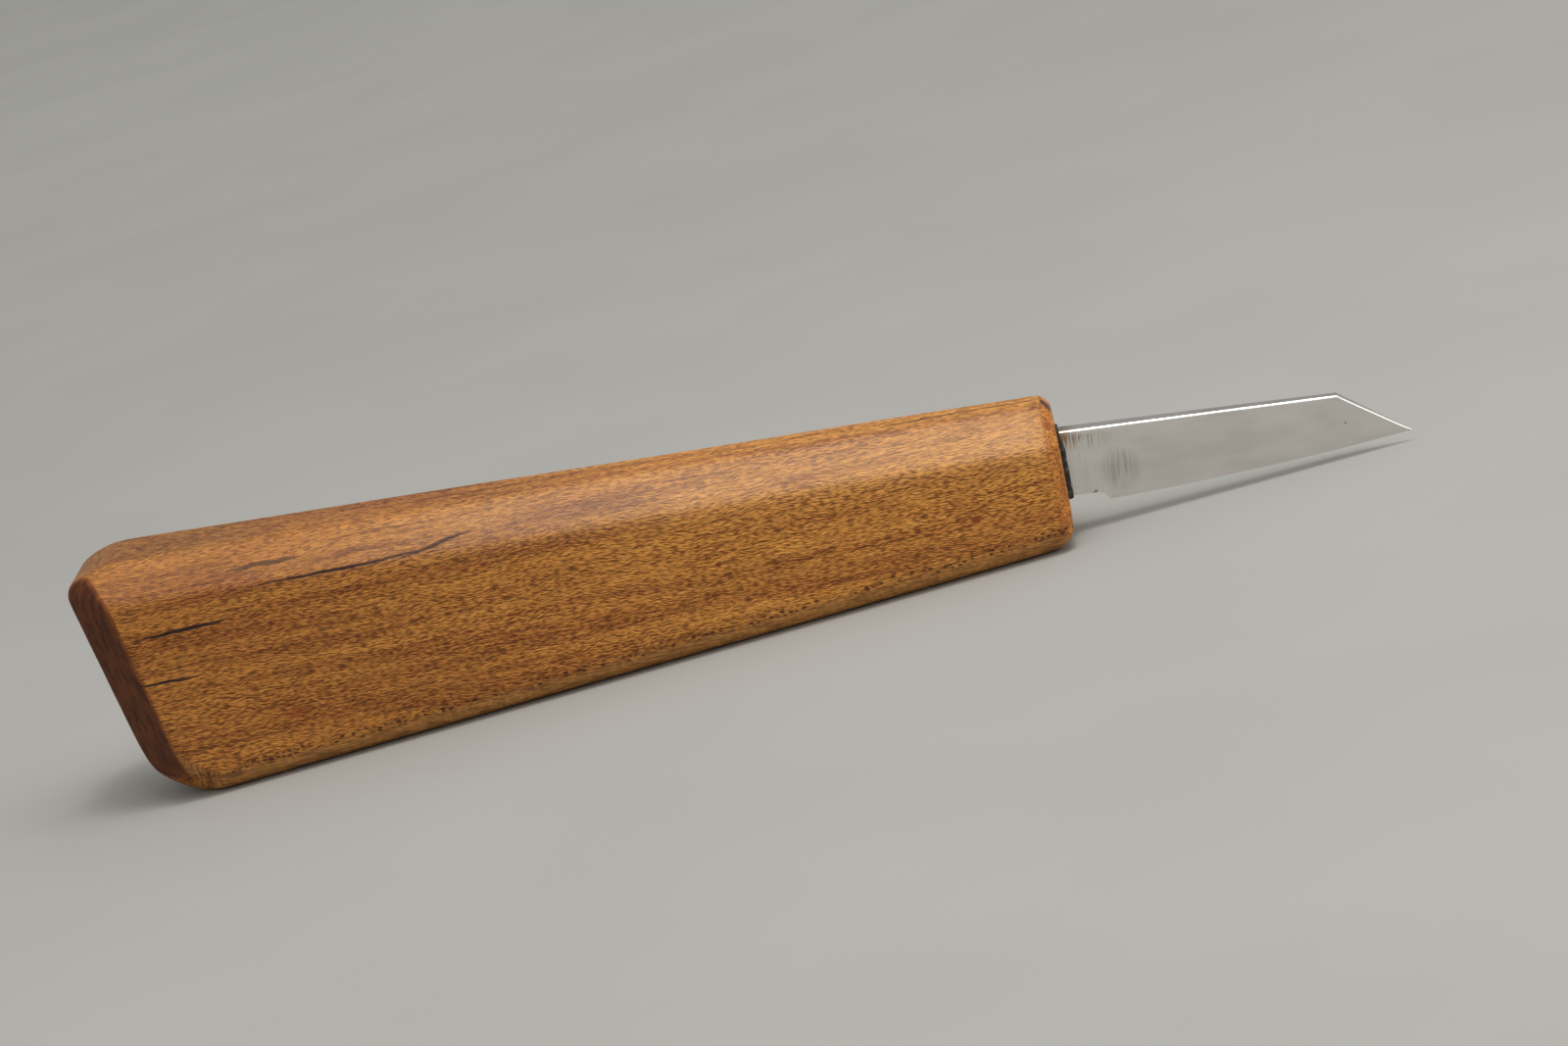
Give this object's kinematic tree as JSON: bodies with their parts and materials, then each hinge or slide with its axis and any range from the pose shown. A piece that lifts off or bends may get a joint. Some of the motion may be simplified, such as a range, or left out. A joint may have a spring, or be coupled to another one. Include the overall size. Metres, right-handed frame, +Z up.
{
  "type": "whittling knife",
  "caption": "Short fixed-blade whittling knife: chamfered, tapered hardwood handle with a slanted butt, clipped steel blade set in black epoxy.",
  "frame": {"origin": "under the middle of the knife's bounding box, on the plane of the handle's flat underside", "axes": "+X along the underside from the butt to the blade's tip, +Y across the handle, +Z up from the underside to the spine"},
  "size_m": [0.1711, 0.0222, 0.0324],
  "materials": {
    "handle_wood": "oiled, hand-rubbed satin, reddish brown",
    "blade_steel": "polished with fine cross scratches and light stains",
    "black_epoxy": "cured epoxy, uneven gloss"
  },
  "bodies": {
    "root": {"handle": "handle_wood", "blade": "blade_steel", "tang_bedding": "black_epoxy", "epoxy_bead": "black_epoxy"}
  },
  "joints": []
}
